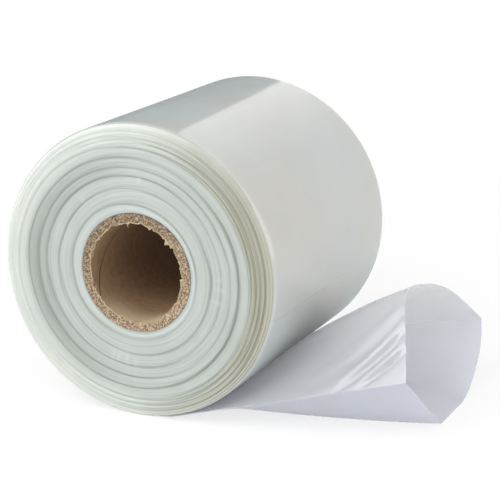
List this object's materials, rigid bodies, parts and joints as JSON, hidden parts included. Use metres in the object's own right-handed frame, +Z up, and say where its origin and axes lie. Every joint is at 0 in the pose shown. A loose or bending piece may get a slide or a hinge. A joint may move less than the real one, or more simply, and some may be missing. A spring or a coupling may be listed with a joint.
{
  "type": "roll of poly tubing",
  "caption": "Roll of clear layflat poly tubing wound on a paper core, with its loose end opened into a tube mouth.",
  "frame": {"origin": "middle of the core's bore, on its axis", "axes": "+Y along the roll's axis, +Z up, and +X towards the mouth of the loose end"},
  "size_m": [0.3309, 0.2254, 0.2274],
  "materials": {
    "kraft_core": "matte",
    "poly_film": "gloss"
  },
  "bodies": {
    "root": {"core": "kraft_core", "tubing": "poly_film"}
  },
  "joints": []
}
